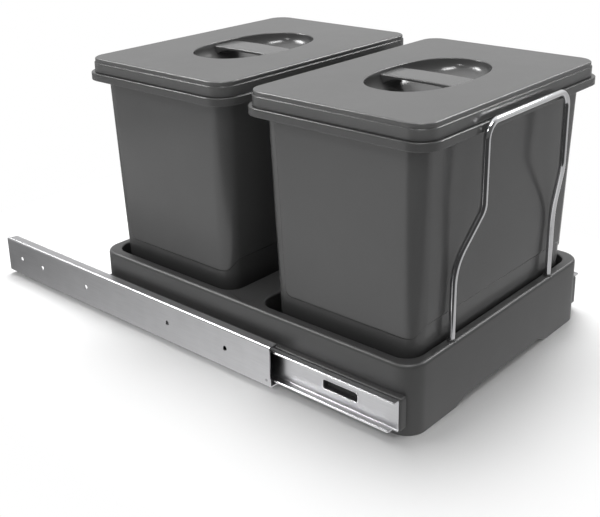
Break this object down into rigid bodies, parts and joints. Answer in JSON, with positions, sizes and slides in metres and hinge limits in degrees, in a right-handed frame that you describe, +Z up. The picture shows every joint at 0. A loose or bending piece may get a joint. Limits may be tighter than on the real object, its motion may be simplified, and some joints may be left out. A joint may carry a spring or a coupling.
{
  "type": "pull-out waste sorter",
  "caption": "pull-out waste sorter for a base cabinet: moulded tray on ball bearing slides, lidded bins with finger bowls, and a bent wire pull at the front",
  "frame": {"origin": "under the middle of the whole unit at rest, level with the tray's feet", "axes": "+X to the right as seen from the front, +Y to the back of the cabinet, +Z up; the tray is drawn out towards -Y"},
  "size_m": [0.364, 0.621, 0.2965],
  "materials": {
    "tray_plastic": "dark grey moulded polypropylene, fine satin texture",
    "bin_plastic": "dark grey moulded polypropylene, semi-gloss walls",
    "lid_plastic": "mid grey moulded polypropylene, satin",
    "chromed_wire": "bright chrome plate",
    "zinc_steel": "bright zinc plate with rolling lines along the rail",
    "cage_steel": "plain strip steel",
    "ball_steel": "polished bearing steel",
    "rivet_steel": "zinc plate",
    "screw_steel": "zinc plate",
    "buffer_plastic": "black moulded plastic"
  },
  "bodies": {
    "cabinet_side": {"cabinet_rail_left": "zinc_steel", "cabinet_rail_right": "zinc_steel", "stop_rivet_left": "rivet_steel", "stop_rivet_right": "rivet_steel", "rear_buffer_left": "buffer_plastic", "rear_buffer_right": "buffer_plastic"},
    "pull_out": {"tray": "tray_plastic", "wire_handle": "chromed_wire", "leg_screw_left": "screw_steel", "leg_screw_right": "screw_steel", "drawer_rail_left": "zinc_steel", "drawer_rail_right": "zinc_steel", "rail_screws_left": "screw_steel", "rail_screws_right": "screw_steel"},
    "cage_left": {"ball_cage_left": "cage_steel", "balls_left": "ball_steel"},
    "cage_right": {"ball_cage_right": "cage_steel", "balls_right": "ball_steel"},
    "front_bin": {"bin_front": "bin_plastic"},
    "rear_bin": {"bin_rear": "bin_plastic"},
    "front_lid": {"lid_front": "lid_plastic"},
    "rear_lid": {"lid_rear": "lid_plastic"}
  },
  "joints": [
    {"name": "tray_slide", "type": "slide", "parent": "cabinet_side", "child": "pull_out", "axis": [0, -1, 0], "range_m": [-0.147, 0.1905]},
    {"name": "cage_left_roll", "type": "slide", "parent": "cabinet_side", "child": "cage_left", "axis": [0, -1, 0], "range_m": [-0.0736, 0.0953]},
    {"name": "cage_right_roll", "type": "slide", "parent": "cabinet_side", "child": "cage_right", "axis": [0, -1, 0], "range_m": [-0.0736, 0.0953]},
    {"name": "front_bin_lift", "type": "slide", "parent": "pull_out", "child": "front_bin", "axis": [0, 0, 1], "range_m": [0, 0.28]},
    {"name": "rear_bin_lift", "type": "slide", "parent": "pull_out", "child": "rear_bin", "axis": [0, 0, 1], "range_m": [0, 0.28]},
    {"name": "front_lid_lift", "type": "slide", "parent": "front_bin", "child": "front_lid", "axis": [0, 0, 1], "range_m": [0, 0.06]},
    {"name": "rear_lid_lift", "type": "slide", "parent": "rear_bin", "child": "rear_lid", "axis": [0, 0, 1], "range_m": [0, 0.06]}
  ],
  "couplings": [
    {"joint": "cage_left_roll", "follows": "tray_slide", "ratio": 0.5},
    {"joint": "cage_right_roll", "follows": "tray_slide", "ratio": 0.5}
  ]
}
